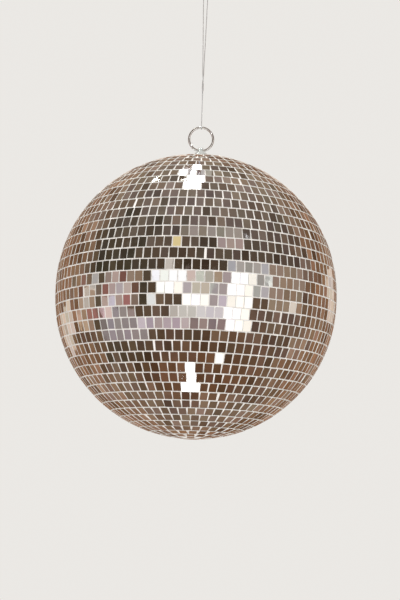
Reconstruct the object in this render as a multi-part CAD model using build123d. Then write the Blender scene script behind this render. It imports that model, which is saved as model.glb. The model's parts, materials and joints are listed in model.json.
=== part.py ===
from build123d import *
from math import acos, atan2, cos, floor, pi, radians, sin, sqrt, tan
import os

os.makedirs("parts", exist_ok=True)

# Everything is in millimetres. The origin is the middle of the ceiling plate's mounting
# face, +Z is up, and all the rest hangs below it. X runs along the ring's face.

# where things hang
equator_z = -268.0          # ball's equator below the ceiling
ring_bottom_z = -161.9      # ring wire where it passes through the stud
hook_seat_z = -30.0         # hook wire where the line hangs over it

# ball
face_radius = 100.0         # tile faces
skirt = 1.5                 # straight band that each half shell adds at the equator
shell_radius = 98.4
shell_wall = 2.5
seam_gap = 0.05
lip_rise = 4.0              # lower half's lip inside the upper half
lip_depth = 5.0
lip_wall = 2.0
lip_clearance = 0.1
lip_root_extra = 1.0        # diameter that the lip's root gains, to run into the shell's wall
coat_inner = 98.42
coat_outer = 98.75
coat_edge = 0.1             # from the equator to each coat's edge
cap_opening = 14.6          # radius of the bare patch at the top pole

# tiles
tile_width = 5.3
tile_height = 7.1
tile_thickness = 1.2
row_pitch = 7.8
tile_pitch = 5.9
rows_above = 18             # above the equator's row
rows_below = 19
closing_gap = 0.8           # how much wider a row's last gap is, at most
corner_gap = 0.3            # between two tiles' nearest corners, at least
turn_per_row = 137.5        # degrees between one row's start and the next row's
bottom_mirror_radius = 6.2

# hanger
cap_radius = 14.1
cap_inner = 98.45
cap_thickness = 1.0
bush_bore = 3.96
bush_outside = 6.5
bush_flange = 10.4
bush_flange_height = 1.0
bush_collar = 8.5
bush_collar_chamfer = 0.35
bush_overlap = 0.2          # how far the bush's collar and sleeve run into its flange
bush_hole = 6.8             # through cap, shell and backing plate
bush_top = 104.8            # above the ball's centre, like the next few
bush_end = 92.6
backing_radius = 11.0
backing_outer = 95.85
backing_thickness = 1.2
bush_nut_flats = 10.0
bush_nut_height = 2.9
stud_diameter = 3.8
stud_top = 108.4
stud_top_round = 0.6
stud_end = 86.6
stud_end_chamfer = 0.4
cross_hole = 2.2
washer_outside = 9.0
washer_thickness = 0.8
washer_clearance = 0.2
lock_nut_flats = 7.0
lock_nut_height = 3.2
nut_across = 1.11           # rounded corners of a nut, as a share of its flats
nut_chamfer = 0.45
thread_clearance = 0.1
running_gap = 0.05
drill_over = 2.0            # how much longer a bore's cutter is than the bore

# ring and line
ring_outside = 18.9
ring_wire = 1.6
ring_cut = 0.2
ring_cut_angle = 44.0
line_diameter = 0.6
line_gap = 0.05
twist_low_z = -120.0
twist_high_z = -103.0
twist_turn = 270.0
twist_steps = 6
wrap_steps = 4              # corners of the line's half turn round a wire
bend_share = 0.45           # of a corner's shorter run that its bend may take
knot_z = -42.0
knot_radius = 1.1
tail_length = 2.4
tail_root = 0.5             # part of the tail inside the knot

# ceiling hook
hook_wire = 3.0
hook_top_z = -1.0
hook_half_width = 7.5
hook_bend = 4.5
hook_neck_z = -12.0
hook_shoulder_z = -17.0
hook_tip_z = -21.0
plate_radius = 23.0
plate_thickness = 3.5
plate_chamfer = 1.0
boss_radius = 4.5
boss_height = 6.0
boss_root = 1.0             # depth inside the plate where the boss starts
boss_chamfer = 0.6
hook_hole_end = 0.1         # left free above the hook's top
hook_hole_clearance = 0.05
plate_screw_hole = 4.5
plate_screw_head = 8.5
plate_screw_spacing = 30.0


def hung(shape):
    """Moves a shape made about the ball's centre to where the ball hangs."""
    return Pos(0, 0, equator_z) * shape


def arc_at(radius, r_from, r_to, centre):
    """Arc of a circle on the axis, from one distance off the axis to another, above the centre."""
    a_from = acos(r_from / radius)
    a_to = acos(r_to / radius)
    a_mid = (a_from + a_to) / 2
    ends = []
    for a in (a_from, a_mid, a_to):
        ends.append((radius * cos(a), centre + radius * sin(a)))
    return ThreePointArc(*ends)


def dome(inner, outer, hole, rim, foot):
    """Domed wall turned about Z, from a hole to a rim or, through its skirt, to a foot's height."""
    if foot is None:
        lines = [
            arc_at(outer, rim, hole, skirt),
            arc_at(inner, rim, hole, skirt),
            Line(
                (rim, skirt + sqrt(outer**2 - rim**2)),
                (rim, skirt + sqrt(inner**2 - rim**2)),
            ),
        ]
    else:
        lines = [
            arc_at(outer, outer, hole, skirt),
            arc_at(inner, inner, hole, skirt),
            Line((outer, skirt), (outer, foot)),
            Line((outer, foot), (inner, foot)),
            Line((inner, foot), (inner, skirt)),
        ]
    lines.append(
        Line(
            (hole, skirt + sqrt(outer**2 - hole**2)),
            (hole, skirt + sqrt(inner**2 - hole**2)),
        )
    )
    flat = make_face(Curve() + lines)
    return revolve(Plane.XZ * flat, Axis.Z, 360)


def upright(diameter, low, high):
    """Solid cylinder on the axis."""
    return Pos(0, 0, (low + high) / 2) * Cylinder(diameter / 2, high - low)


def drill(diameter, low, high):
    """Cutter for a bore on the axis that goes right through."""
    return upright(diameter, low - drill_over / 2, high + drill_over / 2)


def tube(outside, bore, low, high):
    return upright(outside, low, high) - drill(bore, low, high)


def hexagon_nut(flats, bore, low, high):
    body = extrude(RegularPolygon(flats / 2, 6, major_radius=False), high - low)
    corners = upright(flats * nut_across, low, high)
    corners = chamfer(corners.edges(), nut_chamfer)
    return (Pos(0, 0, low) * body & corners) - drill(bore, low, high)


def save(shape, name):
    export_step(shape, "parts/" + name + ".step", write_pcurves=False)


# ---- mirror rows -------------------------------------------------------------


def row_place(k):
    """Latitude and height of row k's middle; row 0 stands on the equator."""
    if k == 0:
        return 0.0, 0.0
    latitude = (row_pitch * abs(k) - skirt) / face_radius
    height = skirt + face_radius * sin(latitude)
    if k < 0:
        return -latitude, -height
    return latitude, height


def row_angles(k):
    """Bearing of each tile of row k, in degrees."""
    latitude, _ = row_place(k)
    middle = face_radius * cos(latitude)
    narrow = middle - tile_height / 2 * abs(sin(latitude))
    reach = (middle + narrow) / 2
    crowded = narrow - tile_thickness * cos(latitude)
    most = floor(pi / atan2((tile_width + corner_gap) / 2, crowded))
    count = min(floor(2 * pi * reach / tile_pitch), most)
    spare = 2 * pi * reach - count * tile_pitch
    extra = min(closing_gap, spare)
    step = (360 - extra / reach * 180 / pi) / count
    start = k * turn_per_row
    return [start + i * step for i in range(count)]


tile = Pos(face_radius - tile_thickness / 2, 0, 0) * Box(
    tile_thickness, tile_width, tile_height
)
for k in range(-rows_below, rows_above + 1):
    latitude, height = row_place(k)
    lift = height - face_radius * sin(latitude)
    tilt = Rot(0, -latitude * 180 / pi, 0)
    tiles = []
    for angle in row_angles(k):
        tiles.append(hung(Pos(0, 0, lift) * Rot(0, 0, angle) * tilt * tile))
    if k < 0:
        name = "mirror_row_lower_" + str(-k).zfill(2)
    elif k == 0:
        name = "mirror_row_equator"
    else:
        name = "mirror_row_upper_" + str(k).zfill(2)
    save(Compound([t.solids()[0] for t in tiles]), name)

pole_z = -(skirt + face_radius)
bottom_mirror = upright(2 * bottom_mirror_radius, pole_z, pole_z + tile_thickness)
save(hung(bottom_mirror), "bottom_mirror")

# ---- core --------------------------------------------------------------------

shell_inner = shell_radius - shell_wall
upper_shell = dome(shell_inner, shell_radius, bush_hole / 2, None, seam_gap)
save(hung(upper_shell), "upper_shell")

lower_shell = Rot(180, 0, 0) * dome(shell_inner, shell_radius, 0.0, None, 0.0)
lip_outside = 2 * (shell_inner - lip_clearance)
lip_bore = lip_outside - 2 * lip_wall
lip_root = tube(lip_outside + lip_root_extra, lip_bore, -lip_depth, 0)
lip = tube(lip_outside, lip_bore, -lip_depth, lip_rise)
lower_shell = lower_shell + lip_root + lip
save(hung(lower_shell), "lower_shell")

upper_coat = dome(coat_inner, coat_outer, cap_opening, None, coat_edge)
save(hung(upper_coat), "upper_adhesive_coat")
lower_coat = Rot(180, 0, 0) * dome(coat_inner, coat_outer, 0.0, None, coat_edge)
save(hung(lower_coat), "lower_adhesive_coat")

# ---- hanger ------------------------------------------------------------------

top_cap = dome(cap_inner, cap_inner + cap_thickness, bush_hole / 2, cap_radius, None)
save(hung(top_cap), "top_cap")

backing_inner = backing_outer - backing_thickness
backing_plate = dome(
    backing_inner, backing_outer, bush_hole / 2, backing_radius, None
)
save(hung(backing_plate), "backing_plate")

flange_low = skirt + cap_inner + cap_thickness + running_gap
flange_high = flange_low + bush_flange_height
collar = tube(bush_collar, bush_bore, flange_high - bush_overlap, bush_top)
collar = chamfer(collar.edges().group_by(Axis.Z)[-1], bush_collar_chamfer)
flange = tube(bush_flange, bush_bore, flange_low, flange_high)
sleeve = tube(bush_outside, bush_bore, bush_end, flange_low + bush_overlap)
save(hung(collar + flange + sleeve), "stud_bush")

nut_reach = bush_nut_flats * nut_across / 2
nut_high = skirt + sqrt(backing_inner**2 - nut_reach**2) - running_gap
nut_bore = bush_outside + thread_clearance
bush_nut = hexagon_nut(bush_nut_flats, nut_bore, nut_high - bush_nut_height, nut_high)
save(hung(bush_nut), "bush_nut")

stud = upright(stud_diameter, stud_end, stud_top)
stud = fillet(stud.edges().group_by(Axis.Z)[-1], stud_top_round)
stud = chamfer(stud.edges().group_by(Axis.Z)[0], stud_end_chamfer)
cross_drill = Rot(0, 90, 0) * drill(cross_hole, -stud_diameter / 2, stud_diameter / 2)
stud = stud - Pos(0, 0, ring_bottom_z - equator_z) * cross_drill
save(hung(stud), "swivel_stud")

washer_high = bush_end - 2 * running_gap
washer_low = washer_high - washer_thickness
washer = tube(washer_outside, stud_diameter + washer_clearance, washer_low, washer_high)
save(hung(washer), "thrust_washer")

lock_high = washer_low - running_gap
lock_bore = stud_diameter + thread_clearance
lock_nut = hexagon_nut(lock_nut_flats, lock_bore, lock_high - lock_nut_height, lock_high)
save(hung(lock_nut), "lock_nut")

# ---- ring --------------------------------------------------------------------

ring_mean = (ring_outside - ring_wire) / 2
cut_degrees = ring_cut / ring_mean * 180 / pi
ring = Torus(ring_mean, ring_wire / 2, major_angle=360 - cut_degrees)
ring_z = ring_bottom_z + ring_mean
ring = Rot(0, 0, cut_degrees / 2 - ring_cut_angle) * ring
ring = Pos(0, 0, ring_z) * Rot(-90, 0, 0) * ring
save(ring, "hanging_ring")

# ---- line --------------------------------------------------------------------

ring_top_z = ring_z + ring_mean
ring_turn = ring_wire / 2 + line_diameter / 2 + line_gap
hook_turn = hook_wire / 2 + line_diameter / 2 + line_gap
strand_off = line_diameter / 2 + line_gap


def round_wire(turn, first, last):
    """Corners of the part-polygon that touches a circle, from one bearing to another."""
    part = (last - first) / wrap_steps
    corner = turn / cos(radians(part / 2))
    found = []
    for i in range(wrap_steps):
        a = radians(first + part * (i + 0.5))
        found.append((corner * cos(a), corner * sin(a)))
    return found


def strand(side):
    """Corners of the twisted stretch, upwards, for the strand in front (side 1) or behind."""
    found = []
    for i in range(twist_steps + 1):
        share = i / twist_steps
        a = radians(side * 90 - twist_turn * share)
        z = twist_low_z + (twist_high_z - twist_low_z) * share
        found.append((strand_off * cos(a), strand_off * sin(a), z))
    return found


lean = (hook_turn - strand_off) / (hook_seat_z - twist_high_z)
knot_x = strand_off + lean * (knot_z - twist_high_z)
knot_clear = knot_radius + line_gap
route = [(knot_x + lean * knot_clear, 0, knot_z + knot_clear)]
for x, z in round_wire(hook_turn, 0, 180):
    route.append((x, 0, hook_seat_z + z))
route += reversed(strand(1))
for y, z in round_wire(ring_turn, 0, -180):
    route.append((0, y, ring_top_z + z))
route += strand(-1)
route.append((knot_x - lean * knot_clear, 0, knot_z - knot_clear))


def bend_radii(corners):
    """Bend at each corner, as large as its share of the shorter run allows."""
    points = [Vector(*c) for c in corners]
    found = []
    for i in range(1, len(points) - 1):
        before = points[i] - points[i - 1]
        after = points[i + 1] - points[i]
        turn = radians(before.get_angle(after))
        run = min(before.length, after.length)
        found.append(bend_share * run / tan(turn / 2))
    return found


radii = bend_radii(route)
line_path = FilletPolyline(*route, radius=radii)
line_section = Plane(
    origin=line_path.position_at(0), z_dir=line_path.tangent_at(0)
) * Circle(line_diameter / 2)
line_cord = sweep(line_section, path=line_path)
print("line length", round(line_path.length, 1), "mm; bends", [round(r, 1) for r in radii])
print(
    "line volume",
    round(line_cord.volume, 2),
    "against",
    round(line_path.length * pi * line_diameter**2 / 4, 2),
)
save(line_cord, "line_cord")

knot = Pos(knot_x, 0, knot_z) * Sphere(knot_radius)
tail_x = knot_x + knot_radius - tail_root
tail = Rot(0, 90, 0) * upright(line_diameter, 0, tail_length)
save(knot + Pos(tail_x, 0, knot_z) * tail, "line_knot")

# ---- ceiling hook ------------------------------------------------------------

hook_path = FilletPolyline(
    (0, 0, hook_top_z),
    (0, 0, hook_neck_z),
    (0, hook_half_width, hook_shoulder_z),
    (0, hook_half_width, hook_seat_z),
    (0, -hook_half_width, hook_seat_z),
    (0, -hook_half_width, hook_tip_z),
    radius=hook_bend,
)
hook_section = Plane(origin=(0, 0, hook_top_z), z_dir=(0, 0, -1)) * Circle(hook_wire / 2)
hook = sweep(hook_section, path=hook_path)
tip = Pos(0, -hook_half_width, hook_tip_z) * Sphere(hook_wire / 2)
save(hook + tip, "ceiling_hook")

plate = upright(2 * plate_radius, -plate_thickness, 0)
plate = chamfer(plate.edges().group_by(Axis.Z)[0], plate_chamfer)
boss = upright(2 * boss_radius, -boss_height, -boss_root)
boss = chamfer(boss.edges().group_by(Axis.Z)[0], boss_chamfer)
hook_hole = hook_wire + 2 * hook_hole_clearance
hook_hole_top = hook_top_z + hook_hole_end
plate = plate + boss - upright(hook_hole, -boss_height - drill_over, hook_hole_top)
sink_height = (plate_screw_head - plate_screw_hole) / 2
sink = Cone(plate_screw_head / 2, plate_screw_hole / 2, sink_height)
sink = Pos(0, 0, -plate_thickness + sink_height / 2) * sink
screw_hole = drill(plate_screw_hole, -plate_thickness, 0) + sink
for side in (-1, 1):
    plate = plate - Pos(side * plate_screw_spacing / 2, 0, 0) * screw_hole
save(plate, "ceiling_plate")
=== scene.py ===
import json
import math

import bmesh
import bpy
import numpy as np
from mathutils import Matrix, Vector

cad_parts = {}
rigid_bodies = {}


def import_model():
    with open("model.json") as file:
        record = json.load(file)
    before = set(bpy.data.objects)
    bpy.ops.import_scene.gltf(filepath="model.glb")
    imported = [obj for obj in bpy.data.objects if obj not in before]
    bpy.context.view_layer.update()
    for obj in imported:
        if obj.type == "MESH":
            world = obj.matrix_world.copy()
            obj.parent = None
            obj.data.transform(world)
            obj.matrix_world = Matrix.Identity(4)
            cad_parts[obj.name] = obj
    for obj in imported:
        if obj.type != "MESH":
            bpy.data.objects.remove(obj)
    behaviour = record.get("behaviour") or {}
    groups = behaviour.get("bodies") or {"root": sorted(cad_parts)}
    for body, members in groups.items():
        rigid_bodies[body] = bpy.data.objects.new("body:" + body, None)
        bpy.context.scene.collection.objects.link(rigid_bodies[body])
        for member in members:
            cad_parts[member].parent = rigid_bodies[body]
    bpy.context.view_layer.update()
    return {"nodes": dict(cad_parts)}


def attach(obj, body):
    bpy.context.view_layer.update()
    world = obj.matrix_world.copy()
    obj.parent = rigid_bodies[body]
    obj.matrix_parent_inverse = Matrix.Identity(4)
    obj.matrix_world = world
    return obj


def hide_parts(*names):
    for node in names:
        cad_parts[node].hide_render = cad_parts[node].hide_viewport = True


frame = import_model()
nodes = frame["nodes"]
scene = bpy.context.scene
MM = 0.001

# ---- sizes, in millimetres, from the CAD -------------------------------------
FACE_RADIUS = 100.0
SKIRT = 1.5
TILE_WIDTH = 5.3
TILE_HEIGHT = 7.1
TILE_THICKNESS = 1.2
ROW_PITCH = 7.8
TILE_PITCH = 5.9
ROWS_ABOVE = 18
ROWS_BELOW = 19
CLOSING_GAP = 0.8
CORNER_GAP = 0.3
TURN_PER_ROW = 137.5
CAP_OPENING = 14.6
CAP_RADIUS = 14.1
BOTTOM_MIRROR_RADIUS = 6.2
EQUATOR = -268.0
HOOK_SEAT = -30.0
RING_TOP = -144.6
KNOT = -42.0
LINE = 0.6
LINE_GAP = 0.05             # between the line's surface and what it goes round
RING_WIRE = 1.6
HOOK_WIRE = 3.0

BALL = Vector((0, 0, EQUATOR * MM))


# ---- camera ------------------------------------------------------------------
CAMERA_DISTANCE = 1.2054
CAMERA_BELOW = math.radians(7.78)
CAMERA_ROLL = math.radians(1.87)
LENS = 67.57
SENSOR_HEIGHT = 24.0
SHIFT_RIGHT = 0.00675           # of the frame's height
SHIFT_UP = -0.005666667

camera = bpy.data.objects.new("camera", bpy.data.cameras.new("camera"))
scene.collection.objects.link(camera)
scene.camera = camera
camera.data.sensor_fit = "VERTICAL"
camera.data.sensor_height = SENSOR_HEIGHT
camera.data.lens = LENS
camera.data.clip_start = 0.01
camera.data.shift_x = SHIFT_RIGHT
camera.data.shift_y = SHIFT_UP
toward = Vector((0, math.cos(CAMERA_BELOW), math.sin(CAMERA_BELOW)))
camera.location = BALL - CAMERA_DISTANCE * toward
camera.rotation_euler = toward.to_track_quat("-Z", "Y").to_euler()
camera.rotation_euler.rotate_axis("Z", CAMERA_ROLL)


# ---- node helpers ------------------------------------------------------------
def new_material(name):
    mat = bpy.data.materials.new(name)
    mat.use_nodes = True
    tree = mat.node_tree
    tree.nodes.clear()
    out = tree.nodes.new("ShaderNodeOutputMaterial")
    bsdf = tree.nodes.new("ShaderNodeBsdfPrincipled")
    tree.links.new(bsdf.outputs["BSDF"], out.inputs["Surface"])
    return mat, tree, bsdf


def add(tree, kind, **values):
    node = tree.nodes.new("ShaderNode" + kind)
    for key, value in values.items():
        if key in node.inputs:
            node.inputs[key].default_value = value
        else:
            setattr(node, key, value)
    return node


def noise(tree, coords, scale, detail=3.0, rough=0.55):
    node = add(tree, "TexNoise", Scale=scale, Detail=detail, Roughness=rough)
    tree.links.new(coords, node.inputs["Vector"])
    return node.outputs["Fac"]


def ramp(tree, source, stops):
    node = tree.nodes.new("ShaderNodeValToRGB")
    while len(node.color_ramp.elements) < len(stops):
        node.color_ramp.elements.new(0.5)
    for element, (at, colour) in zip(node.color_ramp.elements, stops):
        element.position = at
        element.color = (*colour, 1)
    tree.links.new(source, node.inputs["Fac"])
    return node.outputs["Color"]


def grey_ramp(tree, source, low, high, start, end):
    return ramp(tree, source, [(start, (low,) * 3), (end, (high,) * 3)])


def bump(tree, bsdf, height, strength, distance):
    node = add(tree, "Bump", Strength=strength, Distance=distance)
    tree.links.new(height, node.inputs["Height"])
    tree.links.new(node.outputs["Normal"], bsdf.inputs["Normal"])


def object_coords(tree):
    return tree.nodes.new("ShaderNodeTexCoord").outputs["Object"]


# ---- materials ---------------------------------------------------------------
def mirror_material():
    mat, tree, bsdf = new_material("mirror_face")
    link = tree.links.new
    coords = object_coords(tree)
    tile = add(tree, "Attribute", attribute_name="tile_tone")
    tone = ramp(
        tree,
        tile.outputs["Fac"],
        [
            (0.0, (0.60, 0.57, 0.51)),
            (0.15, (0.86, 0.77, 0.70)),
            (0.35, (0.80, 0.82, 0.76)),
            (0.55, (0.92, 0.87, 0.82)),
            (0.75, (0.84, 0.80, 0.86)),
            (1.0, (0.95, 0.94, 0.93)),
        ],
    )
    link(tone, bsdf.inputs["Base Color"])
    bsdf.inputs["Metallic"].default_value = 1.0
    bsdf.inputs["Coat Weight"].default_value = 0.35
    bsdf.inputs["Coat Roughness"].default_value = 0.02
    haze = noise(tree, coords, 260.0, 4.0)
    link(grey_ramp(tree, haze, 0.015, 0.10, 0.45, 0.85), bsdf.inputs["Roughness"])
    ripple = noise(tree, coords, 120.0, 1.0)
    bump(tree, bsdf, ripple, 0.10, 0.0002)
    return mat


def edge_material():
    mat, tree, bsdf = new_material("cut_glass_edge")
    link = tree.links.new
    coords = object_coords(tree)
    grain = noise(tree, coords, 1500.0, 4.0, 0.7)
    link(
        ramp(tree, grain, [(0.3, (0.61, 0.61, 0.58)), (0.7, (0.85, 0.84, 0.82))]),
        bsdf.inputs["Base Color"],
    )
    link(grey_ramp(tree, grain, 0.18, 0.5, 0.3, 0.7), bsdf.inputs["Roughness"])
    bsdf.inputs["IOR"].default_value = 1.52
    bsdf.inputs["Specular IOR Level"].default_value = 0.8
    bump(tree, bsdf, grain, 0.3, 0.0001)
    return mat


def backing_material():
    mat, tree, bsdf = new_material("tile_back_paint")
    coords = object_coords(tree)
    spots = noise(tree, coords, 900.0)
    tree.links.new(
        ramp(tree, spots, [(0.3, (0.30, 0.31, 0.32)), (0.7, (0.42, 0.42, 0.42))]),
        bsdf.inputs["Base Color"],
    )
    bsdf.inputs["Roughness"].default_value = 0.6
    return mat


def adhesive_material():
    mat, tree, bsdf = new_material("pale_adhesive")
    link = tree.links.new
    coords = object_coords(tree)
    patch = noise(tree, coords, 60.0, 4.0)
    grain = noise(tree, coords, 1800.0, 3.0)
    link(
        ramp(
            tree,
            patch,
            [
                (0.25, (0.63, 0.58, 0.54)),
                (0.5, (0.80, 0.76, 0.73)),
                (0.75, (0.90, 0.86, 0.84)),
            ],
        ),
        bsdf.inputs["Base Color"],
    )
    bsdf.inputs["Roughness"].default_value = 0.42
    bump(tree, bsdf, grain, 0.35, 0.0002)
    return mat


def metal_material(name, low, high, rough, shine=1.0):
    mat, tree, bsdf = new_material(name)
    link = tree.links.new
    coords = object_coords(tree)
    patch = noise(tree, coords, 84.0, 4.0)
    grain = noise(tree, coords, 700.0, 3.0, 0.6)
    link(ramp(tree, patch, [(0.3, low), (0.7, high)]), bsdf.inputs["Base Color"])
    link(
        grey_ramp(tree, grain, rough * 0.6, rough * 1.6, 0.3, 0.7),
        bsdf.inputs["Roughness"],
    )
    bsdf.inputs["Metallic"].default_value = shine
    bump(tree, bsdf, grain, 0.12, 0.00005)
    return mat


def plastic_material(name, low, high, rough):
    mat, tree, bsdf = new_material(name)
    link = tree.links.new
    coords = object_coords(tree)
    patch = noise(tree, coords, 45.0, 4.0)
    grain = noise(tree, coords, 1400.0, 3.0)
    link(ramp(tree, patch, [(0.3, low), (0.7, high)]), bsdf.inputs["Base Color"])
    link(
        grey_ramp(tree, grain, rough * 0.85, rough * 1.15, 0.3, 0.7),
        bsdf.inputs["Roughness"],
    )
    bump(tree, bsdf, grain, 0.15, 0.0001)
    return mat


def nylon_material():
    mat, tree, bsdf = new_material("clear_nylon")
    link = tree.links.new
    coords = object_coords(tree)
    cloud = noise(tree, coords, 500.0, 3.0)
    link(
        ramp(tree, cloud, [(0.3, (0.80, 0.83, 0.86)), (0.7, (0.94, 0.95, 0.96))]),
        bsdf.inputs["Base Color"],
    )
    link(grey_ramp(tree, cloud, 0.10, 0.28, 0.3, 0.7), bsdf.inputs["Roughness"])
    bsdf.inputs["IOR"].default_value = 1.53
    bsdf.inputs["Transmission Weight"].default_value = 0.55
    return mat


MIRROR = mirror_material()
EDGE = edge_material()
BACK = backing_material()
ADHESIVE = adhesive_material()
CHROME = metal_material("chrome_plate", (0.82, 0.81, 0.80), (0.92, 0.91, 0.90), 0.14)
BRIGHT = metal_material(
    "turned_steel", (0.70, 0.74, 0.72), (0.86, 0.88, 0.87), 0.22, shine=0.45
)
ZINC = metal_material("zinc_plate", (0.52, 0.53, 0.55), (0.68, 0.68, 0.66), 0.32)
CAP = metal_material(
    "pressed_cap", (0.64, 0.65, 0.64), (0.78, 0.78, 0.76), 0.26, shine=0.6
)
CORE = plastic_material("moulded_core", (0.68, 0.66, 0.61), (0.76, 0.74, 0.70), 0.5)
PAINT = plastic_material("plate_paint", (0.76, 0.76, 0.74), (0.84, 0.84, 0.82), 0.35)
NYLON = nylon_material()


# ---- mesh helpers ------------------------------------------------------------
TURNED_SHARP = math.radians(38)     # edges sharper than this stay sharp
TUBE_SHARP = math.radians(50)


def make_object(name, verts, faces, materials, indices=None, smooth=False):
    mesh = bpy.data.meshes.new(name)
    mesh.from_pydata([tuple(v) for v in verts], [], [tuple(f) for f in faces])
    for material in materials:
        mesh.materials.append(material)
    if indices is not None:
        mesh.polygons.foreach_set("material_index", indices)
    if smooth:
        mesh.polygons.foreach_set("use_smooth", [True] * len(faces))
    mesh.update()
    obj = bpy.data.objects.new(name, mesh)
    scene.collection.objects.link(obj)
    return obj


def corner_arc(before, here, after, radius, steps):
    """Points of the arc that cuts the corner at here."""
    back, ahead = (before - here).normalized(), (after - here).normalized()
    half = back.angle(ahead) / 2
    reach = radius / math.tan(half)
    centre = here + (back + ahead).normalized() * (radius / math.sin(half))
    a, b = here + back * reach - centre, here + ahead * reach - centre
    sweep = a.angle(b)
    found = []
    for i in range(steps + 1):
        share = i / steps
        weight_a = math.sin((1 - share) * sweep) / math.sin(sweep)
        weight_b = math.sin(share * sweep) / math.sin(sweep)
        found.append(centre + a * weight_a + b * weight_b)
    return found


def rounded(corners, radii, steps=4):
    """The corners of a flat outline, each one cut by an arc of its own radius."""
    points = [Vector(c) for c in corners]
    found = []
    for i, (here, radius) in enumerate(zip(points, radii)):
        if radius == 0:
            found.append(here)
        else:
            after = points[(i + 1) % len(points)]
            found += corner_arc(points[i - 1], here, after, radius, steps)
    return [tuple(p) for p in found]


def turned(name, profile, steps, material, above=0.0):
    """Piece turned about the hanging axis; profile is (off the axis, height) in millimetres.
    A profile that starts and ends on the axis makes a solid, any other one closes on itself."""
    solid = profile[0][0] == 0
    rings = profile[1:-1] if solid else profile
    count = len(rings)
    verts, faces = [], []
    for i in range(steps):
        a = 2 * math.pi * i / steps
        for r, z in rings:
            verts.append((r * math.cos(a) * MM, r * math.sin(a) * MM, (z + above) * MM))
    for i in range(steps):
        j = (i + 1) % steps
        for q in range(count - 1 if solid else count):
            t = (q + 1) % count
            faces.append((i * count + q, j * count + q, j * count + t, i * count + t))
    if solid:
        for end, (r, z) in ((0, profile[0]), (count - 1, profile[-1])):
            pole = len(verts)
            verts.append((0, 0, (z + above) * MM))
            for i in range(steps):
                pair = (i * count + end, (i + 1) % steps * count + end)
                faces.append((pole, *(pair[::-1] if end == 0 else pair)))
    piece = make_object(name, verts, faces, [material], smooth=True)
    face_outward(piece)
    piece.data.set_sharp_from_angle(angle=TURNED_SHARP)
    return piece


def face_outward(piece):
    shape = bmesh.new()
    shape.from_mesh(piece.data)
    bmesh.ops.recalc_face_normals(shape, faces=shape.faces)
    shape.to_mesh(piece.data)
    shape.free()


def drilled(piece, drills):
    """Cuts the drills out of the piece and removes them."""
    for drill in drills:
        cut = piece.modifiers.new("cut", "BOOLEAN")
        cut.operation = "DIFFERENCE"
        cut.solver = "EXACT"
        cut.object = drill
    bpy.context.view_layer.update()
    cut_mesh = bpy.data.meshes.new_from_object(
        piece.evaluated_get(bpy.context.evaluated_depsgraph_get())
    )
    piece.modifiers.clear()
    old = piece.data
    piece.data = cut_mesh
    bpy.data.meshes.remove(old)
    cut_mesh.set_sharp_from_angle(angle=TURNED_SHARP)
    for drill in drills:
        bpy.data.objects.remove(drill)


def stand_in(piece, node, body):
    """The piece rides on the body and is seen instead of the CAD node."""
    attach(piece, body)
    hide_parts(node)


# ---- mirror tiles ------------------------------------------------------------
def row_place(k):
    """Latitude and height of row k's middle, as in the CAD."""
    if k == 0:
        return 0.0, 0.0
    latitude = (ROW_PITCH * abs(k) - SKIRT) / FACE_RADIUS
    height = SKIRT + FACE_RADIUS * math.sin(latitude)
    return (latitude, height) if k > 0 else (-latitude, -height)


def row_angles(k):
    """Bearing of each tile of row k, in radians, as in the CAD."""
    latitude, _ = row_place(k)
    middle = FACE_RADIUS * math.cos(latitude)
    narrow = middle - TILE_HEIGHT / 2 * abs(math.sin(latitude))
    reach = (middle + narrow) / 2
    crowded = narrow - TILE_THICKNESS * math.cos(latitude)
    most = math.floor(math.pi / math.atan2((TILE_WIDTH + CORNER_GAP) / 2, crowded))
    count = min(math.floor(2 * math.pi * reach / TILE_PITCH), most)
    spare = 2 * math.pi * reach - count * TILE_PITCH
    extra = min(CLOSING_GAP, spare)
    step = (2 * math.pi - extra / reach) / count
    start = math.radians(k * TURN_PER_ROW)
    return [start + i * step for i in range(count)]


# how unevenly the tiles are cut, in millimetres, and stuck on, in degrees
SIZE_SPREAD = 0.05
CORNER_SPREAD = 0.04
PROUD_SPREAD = 0.05
ROLL_SPREAD = 0.7
ROW_LEAN_SPREAD = 0.22
LEAN_SPREAD = 0.38
YAW_SPREAD = 0.42
ROW_SEED = 1000

# a tile's mirror, then its ground edge, its cut sides and its back
TILE_FACES = [
    (0, 1, 2, 3),
    (4, 5, 1, 0),
    (5, 6, 2, 1),
    (6, 7, 3, 2),
    (7, 4, 0, 3),
    (8, 9, 5, 4),
    (9, 10, 6, 5),
    (10, 11, 7, 6),
    (11, 8, 4, 7),
    (11, 10, 9, 8),
]
TILE_MATERIALS = [0, 1, 1, 1, 1, 1, 1, 1, 1, 2]


def tile_points(rng):
    """Corners of one tile: (out of the face, along the row, up), with a ground edge."""
    width = TILE_WIDTH / 2 + rng.normal(0, SIZE_SPREAD)
    height = TILE_HEIGHT / 2 + rng.normal(0, SIZE_SPREAD)
    chamfer = 0.04 + 0.03 * rng.random()
    depth = 0.06 + 0.04 * rng.random()
    corners = np.array([(-1, -1), (1, -1), (1, 1), (-1, 1)], float)
    skew = rng.normal(0, CORNER_SPREAD, (4, 2))
    outer = corners * (width, height) + skew
    inner = corners * (width - chamfer, height - chamfer) + skew
    points = []
    for pair in inner:
        points.append((0.0, *pair))
    for pair in outer:
        points.append((-depth, *pair))
    for pair in outer:
        points.append((-TILE_THICKNESS, *pair))
    return np.array(points)


def turn(points, axis, angle):
    """Points turned about X, Y or Z (axis 0, 1 or 2)."""
    c, s = math.cos(angle), math.sin(angle)
    a, b = [(1, 2), (2, 0), (0, 1)][axis]
    out = points.copy()
    out[:, a] = c * points[:, a] - s * points[:, b]
    out[:, b] = s * points[:, a] + c * points[:, b]
    return out


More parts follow.
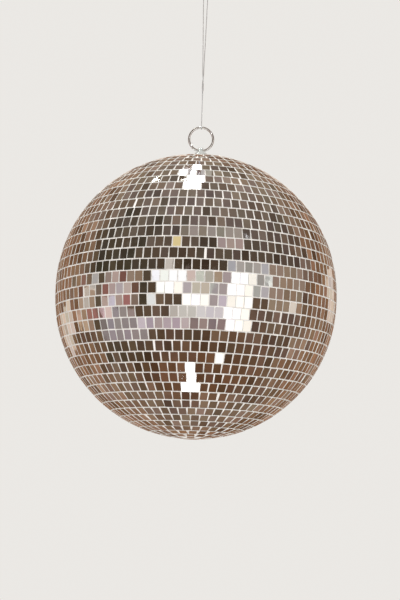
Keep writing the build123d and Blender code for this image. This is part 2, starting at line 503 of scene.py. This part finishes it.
def mirror_piece(name, node, verts, faces, indices, tones):
    """Glass with a mirror, an edge and a back; each tone, 0 to 1, picks a face's tint."""
    piece = make_object(name, verts, faces, [MIRROR, EDGE, BACK], indices)
    tone = piece.data.attributes.new("tile_tone", "FLOAT", "FACE")
    tone.data.foreach_set("value", tones)
    stand_in(piece, node, "ball")


def mirror_row(k, name):
    rng = np.random.default_rng(ROW_SEED + k)
    latitude, height = row_place(k)
    lift = height - FACE_RADIUS * math.sin(latitude)
    row_lean = rng.normal(0, ROW_LEAN_SPREAD)
    verts, faces, indices, tones = [], [], [], []
    for angle in row_angles(k):
        points = tile_points(rng)
        points = turn(points, 0, math.radians(rng.normal(0, ROLL_SPREAD)))
        points = turn(points, 1, math.radians(row_lean + rng.normal(0, LEAN_SPREAD)))
        points = turn(points, 2, math.radians(rng.normal(0, YAW_SPREAD)))
        points[:, 0] += FACE_RADIUS + rng.normal(0, PROUD_SPREAD)
        points = turn(points, 1, -latitude)
        points = turn(points, 2, angle)
        points[:, 2] += lift + EQUATOR
        base = len(verts)
        verts += (points * MM).tolist()
        faces += [tuple(base + i for i in f) for f in TILE_FACES]
        indices += TILE_MATERIALS
        tones += [float(rng.random())] * len(TILE_FACES)
    mirror_piece(name + "_tiles", name, verts, faces, indices, tones)


for k in range(-ROWS_BELOW, ROWS_ABOVE + 1):
    if k < 0:
        mirror_row(k, "mirror_row_lower_%02d" % -k)
    elif k == 0:
        mirror_row(k, "mirror_row_equator")
    else:
        mirror_row(k, "mirror_row_upper_%02d" % k)


# ---- adhesive between the tiles ----------------------------------------------
BED_INNER = 98.42
BED_OUTER = 99.55
BED_EDGE = 0.1              # from the equator to each bed's edge
BED_WAVE = 0.03
POLE_LEFT_OPEN = 0.002      # radians
BED_SEED = 77


def adhesive_bed(name, node, side, hole):
    """Bedding that stands up between the tiles, over one half of the ball."""
    rng = np.random.default_rng(BED_SEED + side)
    around, up = 384, 96
    top = math.acos(hole / BED_OUTER) if hole else math.pi / 2 - POLE_LEFT_OPEN
    verts, faces = [], []
    waves = rng.random((6, 3)) * 2 * math.pi

    def unevenness(lon, lat):
        rise = 0
        for n, (a, b, _) in enumerate(waves):
            round_it = math.sin((17 + 9 * n) * lon + a)
            up_it = math.sin((23 + 7 * n) * lat + b)
            rise += BED_WAVE * round_it * up_it
        return rise

    def at(shell, j, i):
        return (shell * (up + 1) + j) * around + i % around

    for shell in (BED_OUTER, BED_INNER):
        for j in range(up + 1):
            lat = top * j / up
            base = SKIRT if j else BED_EDGE
            for i in range(around):
                lon = 2 * math.pi * i / around
                r = shell + unevenness(lon, lat) if shell == BED_OUTER else shell
                x = r * math.cos(lat)
                z = side * (base + r * math.sin(lat)) + EQUATOR
                verts.append((x * math.cos(lon) * MM, x * math.sin(lon) * MM, z * MM))
    for i in range(around):
        for j in range(up):
            faces.append((at(0, j, i), at(0, j, i + 1), at(0, j + 1, i + 1), at(0, j + 1, i)))
            faces.append((at(1, j, i + 1), at(1, j, i), at(1, j + 1, i), at(1, j + 1, i + 1)))
        faces.append((at(1, 0, i), at(1, 0, i + 1), at(0, 0, i + 1), at(0, 0, i)))
        faces.append((at(0, up, i), at(0, up, i + 1), at(1, up, i + 1), at(1, up, i)))
    if side < 0:
        faces = [f[::-1] for f in faces]
    bed = make_object(name, verts, faces, [ADHESIVE], smooth=True)
    stand_in(bed, node, "ball")


adhesive_bed("upper_tile_bedding", "upper_adhesive_coat", 1, CAP_OPENING)
adhesive_bed("lower_tile_bedding", "lower_adhesive_coat", -1, 0.0)


# ---- round mirror at the bottom pole -----------------------------------------
BOTTOM_MIRROR_TONE = 0.6
GROUND_WIDTH = 0.25
GROUND_DEPTH = 0.18


def bottom_disc():
    face = -(SKIRT + FACE_RADIUS)
    radius, steps = BOTTOM_MIRROR_RADIUS, 96
    rings = [
        (radius - GROUND_WIDTH, face),
        (radius, face + GROUND_DEPTH),
        (radius, face + TILE_THICKNESS),
    ]
    verts, faces, indices = [], [], []
    for r, z in rings:
        for i in range(steps):
            a = 2 * math.pi * i / steps
            verts.append((r * math.cos(a) * MM, r * math.sin(a) * MM, (z + EQUATOR) * MM))
    faces.append(tuple(range(steps))[::-1])
    indices.append(0)
    for a, b in ((0, steps), (steps, 2 * steps)):
        for i in range(steps):
            j = (i + 1) % steps
            faces.append((a + i, a + j, b + j, b + i))
            indices.append(1)
    faces.append(tuple(range(2 * steps, 3 * steps)))
    indices.append(2)
    tones = [BOTTOM_MIRROR_TONE] * len(faces)
    mirror_piece("bottom_round_mirror", "bottom_mirror", verts, faces, indices, tones)


bottom_disc()


# ---- line --------------------------------------------------------------------
RING_TURN = RING_WIRE / 2 + LINE / 2 + LINE_GAP
HOOK_TURN = HOOK_WIRE / 2 + LINE / 2 + LINE_GAP
STRAND_OFF = LINE / 2 + LINE_GAP
TWIST_LOW, TWIST_HIGH = -120.0, -103.0
TWIST_TURN, TWIST_STEPS = 270.0, 6
NEAR_WIRE = 3.6             # where the line starts to bend towards a wire
HOOK_CORNER = 1.0
RING_CORNER = 0.9
WRAP_STEPS = 4              # points on each half turn round a wire
KNOT_END = 0.1


def round_wire(size, first, last, steps):
    """Control points whose smooth curve goes round a wire; angles in degrees."""
    part = (last - first) / steps
    corner = size / math.cos(math.radians(part / 2))
    found = []
    for i in range(steps):
        a = math.radians(first + part * (i + 0.5))
        found.append((corner * math.cos(a), corner * math.sin(a)))
    return found


def strand(side):
    """One strand of the twist, from its lower end up; side is 1 or -1."""
    found = []
    for i in range(TWIST_STEPS + 1):
        share = i / TWIST_STEPS
        a = math.radians(side * 90 - TWIST_TURN * share)
        z = TWIST_LOW + (TWIST_HIGH - TWIST_LOW) * share
        found.append((STRAND_OFF * math.cos(a), STRAND_OFF * math.sin(a), z))
    return found


lean = (HOOK_TURN - STRAND_OFF) / (HOOK_SEAT - TWIST_HIGH)
knot_x = STRAND_OFF + lean * (KNOT - TWIST_HIGH)
route = [(knot_x + lean * KNOT_END, 0, KNOT + KNOT_END)]
route.append((HOOK_TURN, 0, HOOK_SEAT - NEAR_WIRE))
route.append((HOOK_TURN, 0, HOOK_SEAT - HOOK_CORNER))
for x, z in round_wire(HOOK_TURN, 0, 180, WRAP_STEPS):
    route.append((x, 0, HOOK_SEAT + z))
route.append((-HOOK_TURN, 0, HOOK_SEAT - HOOK_CORNER))
route.append((-HOOK_TURN, 0, HOOK_SEAT - NEAR_WIRE))
route += reversed(strand(1))
route.append((0, RING_TURN, RING_TOP + NEAR_WIRE))
route.append((0, RING_TURN, RING_TOP + RING_CORNER))
for y, z in round_wire(RING_TURN, 0, -180, WRAP_STEPS):
    route.append((0, y, RING_TOP + z))
route.append((0, -RING_TURN, RING_TOP + RING_CORNER))
route.append((0, -RING_TURN, RING_TOP + NEAR_WIRE))
route += strand(-1)
route.append((knot_x - lean * KNOT_END, 0, KNOT - KNOT_END))

curve = bpy.data.curves.new("line", "CURVE")
curve.dimensions = "3D"
spline = curve.splines.new("NURBS")
spline.points.add(len(route) - 1)
for point, (x, y, z) in zip(spline.points, route):
    point.co = (x * MM, y * MM, z * MM, 1)
spline.order_u = 3
spline.use_endpoint_u = True
spline.resolution_u = 8
curve.bevel_depth = LINE / 2 * MM
curve.bevel_resolution = 4
curve.use_fill_caps = True
curve.materials.append(NYLON)
line = bpy.data.objects.new("hanging_line", curve)
scene.collection.objects.link(line)
stand_in(line, "line_cord", "line")


def tube(name, centres, radius, sides, material, round_end=False):
    """Closed mesh tube round a run of centres, in metres; round_end domes its last end."""
    centres = [Vector(c) for c in centres]
    sizes = [radius] * len(centres)
    if round_end:
        end = centres[-1]
        ahead = (end - centres[-2]).normalized()
        for i in range(1, 7):
            a = math.radians(14 * i)
            centres.append(end + ahead * radius * math.sin(a))
            sizes.append(radius * math.cos(a))
    verts, faces = [], []
    across = None
    for i, c in enumerate(centres):
        ahead = centres[min(i + 1, len(centres) - 1)] - centres[max(i - 1, 0)]
        ahead.normalize()
        if across is None:
            across = ahead.orthogonal().normalized()
        across = (across - ahead * across.dot(ahead)).normalized()
        other = ahead.cross(across)
        for s in range(sides):
            a = 2 * math.pi * s / sides
            verts.append(c + sizes[i] * (math.cos(a) * across + math.sin(a) * other))
    for i in range(len(centres) - 1):
        for s in range(sides):
            t = (s + 1) % sides
            a, b = i * sides, (i + 1) * sides
            faces.append((a + s, a + t, b + t, b + s))
    faces.append(tuple(range(sides))[::-1])
    last = (len(centres) - 1) * sides
    faces.append(tuple(range(last, last + sides)))
    piece = make_object(name, verts, faces, [material], smooth=True)
    piece.data.set_sharp_from_angle(angle=TUBE_SHARP)
    return piece


WRAP_OFF = 0.02             # from a wrap to the strands inside it
WRAP_APART = 0.03
TAIL_RISE = 0.15
TAIL_STEP = 0.45
TAIL_FLARE = 0.12


def knot():
    """Wraps of the line round itself, with a short cut tail."""
    turns, steps = 4.5, 24
    centres = []
    wrap = LINE + WRAP_OFF
    height = turns * (LINE + WRAP_APART)
    for i in range(int(turns * steps) + 1):
        a = 2 * math.pi * i / steps
        z = -height / 2 + height * i / (turns * steps)
        x = knot_x + lean * z + wrap * math.cos(a)
        centres.append((x * MM, wrap * math.sin(a) * MM, (KNOT + z) * MM))
    end = Vector(centres[-1])
    onward = Vector((-math.sin(a), math.cos(a), TAIL_RISE)).normalized()
    outward = Vector((math.cos(a), math.sin(a), 0))
    for i in range(1, 6):
        centres.append(end + onward * TAIL_STEP * i * MM + outward * TAIL_FLARE * i * MM)
    return tube("line_knot_wraps", centres, LINE / 2 * MM, 12, NYLON)


wraps = knot()
stand_in(wraps, "line_knot", "line")


# ---- ring, stud and its bush, cap --------------------------------------------
RING_MEAN = 8.65
RING_MIDDLE = RING_TOP - RING_MEAN
RING_CUT = 44.0
RING_CUT_WIDTH = 0.2
CROSS_HOLE = 2.2
CROSS_HEIGHT = RING_MIDDLE - RING_MEAN - EQUATOR


def hanging_ring():
    steps = 180
    gap = math.degrees(RING_CUT_WIDTH / RING_MEAN)
    centres = []
    for i in range(steps + 1):
        a = math.radians(RING_CUT + gap / 2 + (360 - gap) * i / steps)
        across, up = RING_MEAN * math.cos(a), RING_MEAN * math.sin(a)
        centres.append((across * MM, 0, (RING_MIDDLE + up) * MM))
    ring = tube("split_ring", centres, RING_WIRE / 2 * MM, 28, CHROME)
    stand_in(ring, "hanging_ring", "ring")


def swivel_stud():
    low, high, radius = 86.6, 108.4, 1.9
    corners = [(0, low), (radius, low), (radius, high), (0, high)]
    profile = rounded(corners, [0, 0.3, 0.6, 0], 6)
    stud = turned("drilled_stud", profile, 64, BRIGHT, EQUATOR)
    at = (CROSS_HEIGHT + EQUATOR) * MM
    ends = [(-4 * MM, 0, at), (4 * MM, 0, at)]
    drilled(stud, [tube("drill", ends, CROSS_HOLE / 2 * MM, 40, BRIGHT)])
    stand_in(stud, "swivel_stud", "stud")


def stud_bush():
    corners = [
        (1.98, 92.6),
        (3.25, 92.6),
        (3.25, 101.0),
        (5.2, 101.0),
        (5.2, 102.0),
        (4.25, 102.0),
        (4.25, 104.8),
        (1.98, 104.8),
    ]
    radii = [0.2, 0.2, 0.15, 0.25, 0.35, 0.25, 0.5, 0.15]
    bush = turned("collar_bush", rounded(corners, radii), 72, BRIGHT, EQUATOR)
    stand_in(bush, "stud_bush", "ball")


def top_cap():
    """Pressed disc with a bead round it and a turned edge."""
    inner, outer, hole, rim = 98.45, 99.45, 3.4, CAP_RADIUS
    bead, bead_height, bead_width = 11.0, 0.35, 0.7
    chamfer = 0.12
    profile = []
    steps = 40
    for i in range(steps + 1):
        r = rim - chamfer + (hole + chamfer - rim) * i / steps
        rise = bead_height * math.exp(-(((r - bead) / bead_width) ** 2))
        profile.append((r, SKIRT + math.sqrt((outer + rise) ** 2 - r**2)))
    profile.append((hole, profile[-1][1] - chamfer))
    for i in range(steps // 2 + 1):
        r = hole + (rim - hole) * i / (steps // 2)
        profile.append((r, SKIRT + math.sqrt(inner**2 - r**2)))
    profile.append((rim, profile[0][1] - chamfer))
    cap = turned("pressed_top_cap", profile, 120, CAP, EQUATOR)
    stand_in(cap, "top_cap", "ball")


# ---- ceiling hook and its plate ----------------------------------------------
PLATE_RADIUS = 23.0
PLATE_THICKNESS = 3.5
SCREW_OFF = 15.0


def bent(corners, radius, steps):
    """Centres of a wire bent to one radius at each corner: millimetres in, metres out."""
    points = [Vector(c) for c in corners]
    found = [points[0]]
    for before, here, after in zip(points, points[1:], points[2:]):
        found += corner_arc(before, here, after, radius, steps)
    found.append(points[-1])
    return [tuple(p * MM) for p in found]


def ceiling_hook():
    route = bent(
        [
            (0, 0, -1.0),
            (0, 0, -12.0),
            (0, 7.5, -17.0),
            (0, 7.5, HOOK_SEAT),
            (0, -7.5, HOOK_SEAT),
            (0, -7.5, -21.0),
        ],
        4.5,
        16,
    )
    hook = tube("bent_wire_hook", route, HOOK_WIRE / 2 * MM, 32, CHROME, round_end=True)
    stand_in(hook, "ceiling_hook", "ceiling")


def ceiling_plate():
    corners = [
        (0, 0),
        (PLATE_RADIUS, 0),
        (PLATE_RADIUS, -PLATE_THICKNESS),
        (4.5, -PLATE_THICKNESS),
        (4.5, -6.0),
        (1.55, -6.0),
        (1.55, -0.9),
        (0, -0.9),
    ]
    radii = [0, 0.3, 1.4, 0.4, 0.8, 0.2, 0, 0]
    plate = turned("screwed_plate", rounded(corners, radii, 6), 128, PAINT)
    drills = []
    for side in (-1, 1):
        hole = [
            (0, 1.0),
            (2.25, 1.0),
            (2.25, 2.0 - PLATE_THICKNESS),
            (4.45, -PLATE_THICKNESS - 0.2),
            (4.45, -PLATE_THICKNESS - 1.0),
            (0, -PLATE_THICKNESS - 1.0),
        ]
        drill = turned("drill", hole, 48, PAINT)
        drill.data.transform(Matrix.Translation((side * SCREW_OFF * MM, 0, 0)))
        drills.append(drill)
    drilled(plate, drills)
    stand_in(plate, "ceiling_plate", "ceiling")


hanging_ring()
swivel_stud()
stud_bush()
top_cap()
ceiling_hook()
ceiling_plate()


# ---- carried-over CAD parts --------------------------------------------------
finish_of = {
    "upper_shell": CORE,
    "lower_shell": CORE,
    "backing_plate": ZINC,
    "bush_nut": ZINC,
    "thrust_washer": ZINC,
    "lock_nut": ZINC,
}
for name, material in finish_of.items():
    mesh = nodes[name].data
    mesh.materials.clear()
    mesh.materials.append(material)


# ---- studio ------------------------------------------------------------------
FLOOR_SIZE = 9.0            # metres each way
FLOOR_DROP = 1.7
FLOOR_SHADE = 0.888


def floor():
    size, z = FLOOR_SIZE, EQUATOR * MM - FLOOR_DROP
    verts = [(-size, -size, z), (size, -size, z), (size, size, z), (-size, size, z)]
    mat, _, bsdf = new_material("pale_floor")
    bsdf.inputs["Base Color"].default_value = (FLOOR_SHADE, FLOOR_SHADE, FLOOR_SHADE, 1)
    bsdf.inputs["Roughness"].default_value = 1.0
    bsdf.inputs["Specular IOR Level"].default_value = 0.0
    obj = make_object("studio_floor", verts, [(0, 1, 2, 3)], [mat])
    obj.visible_glossy = False


floor()


def blend_colour(tree, kind, fac, under, over):
    node = add(tree, "Mix", data_type="RGBA", blend_type=kind)
    if isinstance(fac, float):
        node.inputs["Factor"].default_value = fac
    else:
        tree.links.new(fac, node.inputs["Factor"])
    for socket, value in (("A", under), ("B", over)):
        target = [i for i in node.inputs if i.name == socket and i.type == "RGBA"][0]
        if isinstance(value, tuple):
            target.default_value = (*value, 1)
        else:
            tree.links.new(value, target)
    return [o for o in node.outputs if o.type == "RGBA"][0]


def wavering(tree, source, sway, amount):
    """source moved up and down by a noise."""
    centred = add(tree, "Math", operation="SUBTRACT")
    tree.links.new(sway, centred.inputs[0])
    centred.inputs[1].default_value = 0.5
    scaled = add(tree, "Math", operation="MULTIPLY_ADD")
    tree.links.new(centred.outputs[0], scaled.inputs[0])
    scaled.inputs[1].default_value = amount
    tree.links.new(source, scaled.inputs[2])
    return scaled.outputs[0]


SKY = (0.83, 0.81, 0.78, 1)


def remap(tree, source, low, high, to_low=0.0, to_high=1.0):
    node = add(tree, "MapRange")
    tree.links.new(source, node.inputs["Value"])
    node.inputs["From Min"].default_value = low
    node.inputs["From Max"].default_value = high
    node.inputs["To Min"].default_value = to_low
    node.inputs["To Max"].default_value = to_high
    return node.outputs["Result"]


def room_colour(tree, coords):
    """A dim warm room: its front, a darker left side, a wall at the back, lighter ends."""
    link = tree.links.new
    axes = tree.nodes.new("ShaderNodeSeparateXYZ")
    link(coords, axes.inputs["Vector"])
    broad = noise(tree, coords, 2.2, 2.0)
    fine = noise(tree, coords, 7.0, 3.0, 0.7)
    height = remap(tree, wavering(tree, axes.outputs["Z"], broad, 0.5), -1.0, 1.0)
    front = ramp(
        tree,
        height,
        [
            (0.05, (0.155, 0.076, 0.040)),
            (0.20, (0.165, 0.100, 0.064)),
            (0.33, (0.185, 0.120, 0.086)),
            (0.48, (0.125, 0.085, 0.060)),
            (0.62, (0.074, 0.049, 0.033)),
            (0.78, (0.135, 0.100, 0.078)),
            (0.95, (0.210, 0.165, 0.138)),
        ],
    )
    side = remap(tree, wavering(tree, axes.outputs["X"], fine, 0.9), -0.25, -0.85, to_high=0.6)
    sided = blend_colour(tree, "MIX", side, front, (0.062, 0.055, 0.034))
    back = remap(tree, wavering(tree, axes.outputs["Y"], fine, 0.4), -0.05, 0.55)
    wall = ramp(
        tree,
        broad,
        [
            (0.35, (0.210, 0.115, 0.065)),
            (0.50, (0.300, 0.165, 0.095)),
            (0.65, (0.330, 0.225, 0.160)),
        ],
    )
    upright = add(tree, "Math", operation="ABSOLUTE")
    link(axes.outputs["Z"], upright.inputs[0])
    ends = remap(tree, wavering(tree, upright.outputs[0], fine, 0.3), 0.50, 0.85, to_high=0.85)
    end_colour = ramp(
        tree,
        height,
        [(0.35, (0.245, 0.180, 0.135)), (0.65, (0.290, 0.235, 0.185))],
    )
    wall = blend_colour(tree, "MIX", ends, wall, end_colour)
    room = blend_colour(tree, "MIX", back, sided, wall)
    shade = grey_ramp(tree, fine, 0.55, 1.30, 0.35, 0.65)
    return blend_colour(tree, "MULTIPLY", 1.0, room, shade)


def soft_strength(tree, coords):
    """Light from all round, more of it from above."""
    slant = add(tree, "VectorMath", operation="DOT_PRODUCT")
    tree.links.new(coords, slant.inputs[0])
    slant.inputs[1].default_value = (-0.25, -0.30, 0.92)
    return remap(tree, slant.outputs["Value"], -1.0, 1.0, 0.82, 1.20)


def choose(tree, fac, otherwise, chosen):
    node = tree.nodes.new("ShaderNodeMixShader")
    tree.links.new(fac, node.inputs["Fac"])
    tree.links.new(otherwise, node.inputs[1])
    tree.links.new(chosen, node.inputs[2])
    return node.outputs["Shader"]


def studio_world():
    """Pale all round for the eye, and a dim warm room for anything that mirrors it."""
    world = bpy.data.worlds.new("studio")
    scene.world = world
    world.use_nodes = True
    tree = world.node_tree
    tree.nodes.clear()
    link = tree.links.new
    out = tree.nodes.new("ShaderNodeOutputWorld")
    path = tree.nodes.new("ShaderNodeLightPath")
    coords = tree.nodes.new("ShaderNodeTexCoord").outputs["Generated"]
    room = add(tree, "Background", Strength=1.0)
    link(room_colour(tree, coords), room.inputs["Color"])
    pale = add(tree, "Background", Color=SKY, Strength=1.0)
    soft = add(tree, "Background", Color=SKY)
    link(soft_strength(tree, coords), soft.inputs["Strength"])
    to_camera = path.outputs["Is Camera Ray"]
    mirrored = path.outputs["Is Glossy Ray"]
    light = choose(tree, to_camera, soft.outputs["Background"], pale.outputs["Background"])
    shown = choose(tree, mirrored, light, room.outputs["Background"])
    link(shown, out.inputs["Surface"])


studio_world()


def softbox(name, azimuth, elevation, wide, high, distance, radiance, colour=(1, 1, 1)):
    """Rectangular light facing the ball; azimuth 0 is the camera's side, angles in degrees."""
    a, e = math.radians(azimuth), math.radians(elevation)
    out = Vector((math.sin(a) * math.cos(e), -math.cos(a) * math.cos(e), math.sin(e)))
    data = bpy.data.lights.new(name, "AREA")
    data.shape = "RECTANGLE"
    data.size = 2 * distance * math.tan(math.radians(wide / 2))
    data.size_y = 2 * distance * math.tan(math.radians(high / 2))
    data.energy = radiance * math.pi * data.size * data.size_y
    data.color = colour
    obj = bpy.data.objects.new(name, data)
    scene.collection.objects.link(obj)
    obj.location = BALL + out * distance
    obj.rotation_euler = out.to_track_quat("Z", "Y").to_euler()
    obj.visible_camera = False


COOL = (0.90, 0.96, 1.0)
WHITE = (0.95, 0.99, 1.0)
WARM = (1.0, 0.93, 0.84)
LILAC = (0.92, 0.86, 1.0)
ROSE = (1.0, 0.80, 0.80)
SAGE = (0.86, 0.96, 0.86)
CREAM = (0.98, 0.96, 0.88)
TAN = (0.95, 0.72, 0.55)
CRIMSON = (0.85, 0.30, 0.30)
IVORY = (1.0, 0.98, 0.90)
AMBER = (1.0, 0.80, 0.42)
STRAW = (1.0, 0.96, 0.8)

# the panes that the front of the ball mirrors
softbox("pane_left_upper", -22, 9.5, 24, 9, 2.4, 1.05, WHITE)
softbox("pane_left_lower", -21.5, 0.3, 21, 9, 2.4, 1.25, WHITE)
softbox("pane_left_top", -25, 18.5, 6, 9, 2.4, 0.55, IVORY)
softbox("pane_left_foot", -37, -9, 7, 9, 2.4, 0.75, WHITE)
softbox("pane_middle", -3, -9, 20, 9, 2.4, 1.2, WHITE)
softbox("pane_middle_low", 5.5, -18, 46, 9, 2.45, 0.56, COOL)
softbox("pane_middle_side", 16, -9, 18, 9, 2.4, 0.48, LILAC)
for i, (radiance, colour) in enumerate(
    [(0.62, ROSE), (0.60, SAGE), (0.66, CREAM), (0.42, CREAM), (0.36, TAN), (0.42, LILAC)]
):
    softbox("pane_between_%d" % (i + 1), -6 + 6 * i, 9.5, 6, 9, 2.5, radiance, colour)
for i, (radiance, colour) in enumerate(
    [(0.44, LILAC), (0.52, CREAM), (0.58, CREAM), (0.46, WHITE), (0.34, LILAC), (0.50, SAGE)]
):
    softbox("pane_under_%d" % (i + 1), -8 + 6.5 * i, 0.3, 6.5, 9, 2.5, radiance, colour)
softbox("pane_right", 35.5, -9, 20, 44, 2.4, 1.35, WHITE)
softbox("pane_right_top", 35.5, 18, 22, 9, 2.4, 0.42, COOL)
softbox("pane_right_side", 52, 7, 11, 24, 2.4, 0.40, COOL)
softbox("pane_right_edge", 60, 10, 5, 9, 2.4, 0.85, WHITE)
softbox("sill_left", -29, -26, 40, 9, 2.4, 0.34, LILAC)
softbox("sill_middle", 10, -26, 38, 9, 2.45, 0.13, LILAC)
softbox("sill_far_left", -66, -24, 34, 20, 2.5, 0.23, LILAC)
softbox("pane_small", 31.5, -53.5, 5, 8, 2.2, 1.3, WHITE)
softbox("lamp_shade", -18, 36, 6, 8, 2.4, 0.75, AMBER)
softbox("haze_high", 14, 44, 44, 9, 2.5, 0.17, CREAM)
softbox("haze_high_right", 31, 35, 20, 8, 2.5, 0.26, ROSE)

# a curtain far to the left, in folds of several colours, in three tiers
FOLD_WIDTH = 7.4
FOLDS = [
    (0.28, TAN),
    (0.42, ROSE),
    (0.12, CRIMSON),
    (0.34, TAN),
    (0.10, TAN),
    (0.52, LILAC),
    (0.20, CRIMSON),
    (0.46, WHITE),
    (0.30, CRIMSON),
    (0.55, ROSE),
    (0.16, TAN),
]
for tier, (elevation, skip, gain) in enumerate(((9, 3, 0.8), (0.3, 7, 0.9), (-8.5, 4, 1.1))):
    for i in range(9):
        radiance, colour = FOLDS[(i * skip + 2 * tier) % len(FOLDS)]
        name = "fold_%d_%d" % (tier + 1, i + 1)
        azimuth = -44 - FOLD_WIDTH * i - 2.1 * tier
        lower = elevation - 0.35 * i
        softbox(name, azimuth, lower, FOLD_WIDTH, 8.8, 2.4, radiance * gain, colour)

softbox("side_right", 84, -4, 9, 10, 2.6, 0.50, COOL)
softbox("wall_right", 78, 4, 34, 26, 2.8, 0.22, TAN)
softbox("limb_left", -134, -6, 26, 14, 2.6, 0.42, CREAM)
softbox("limb_right", 142, 7, 18, 13, 2.6, 0.42, CREAM)
softbox("back", 180, 14, 20, 20, 2.6, 0.45, WARM)


def bulb(name, place, radius, energy, colour=WHITE):
    """Round lamp; place is in metres from the ball's centre."""
    data = bpy.data.lights.new(name, "POINT")
    data.shadow_soft_size = radius
    data.energy = energy
    data.color = colour
    obj = bpy.data.objects.new(name, data)
    scene.collection.objects.link(obj)
    obj.location = BALL + Vector(place)
    obj.visible_camera = False


# bulbs in a row over the ball and in a row under it, and three small bright ones
for i in range(4):
    bulb("bulb_above_%d" % (i + 1), (-0.095, -0.06 + 0.20 * i, 1.48 - 0.03 * i), 0.12, 8)
for i in range(4):
    bulb("bulb_below_%d" % (i + 1), (-0.030, -0.60 + 0.14 * i, -1.10), 0.085, 3)
bulb("bulb_right", (1.26, -1.02, 1.48), 0.045, 30)
bulb("bulb_left", (-0.534, 0.435, 1.443), 0.035, 16, STRAW)
bulb("bulb_low_left", (-1.71, -0.98, 0.97), 0.045, 30)

# the room's lamps are there to be mirrored; floor, ceiling plate and line have the soft
# light of the sky alone
lit = bpy.data.collections.new("lit_by_the_lamps")
for obj in scene.objects:
    if obj.type == "MESH" and obj.name not in ("studio_floor", "screwed_plate"):
        lit.objects.link(obj)
for obj in scene.objects:
    if obj.type == "LIGHT":
        obj.light_linking.receiver_collection = lit

scene.view_settings.view_transform = "Standard"
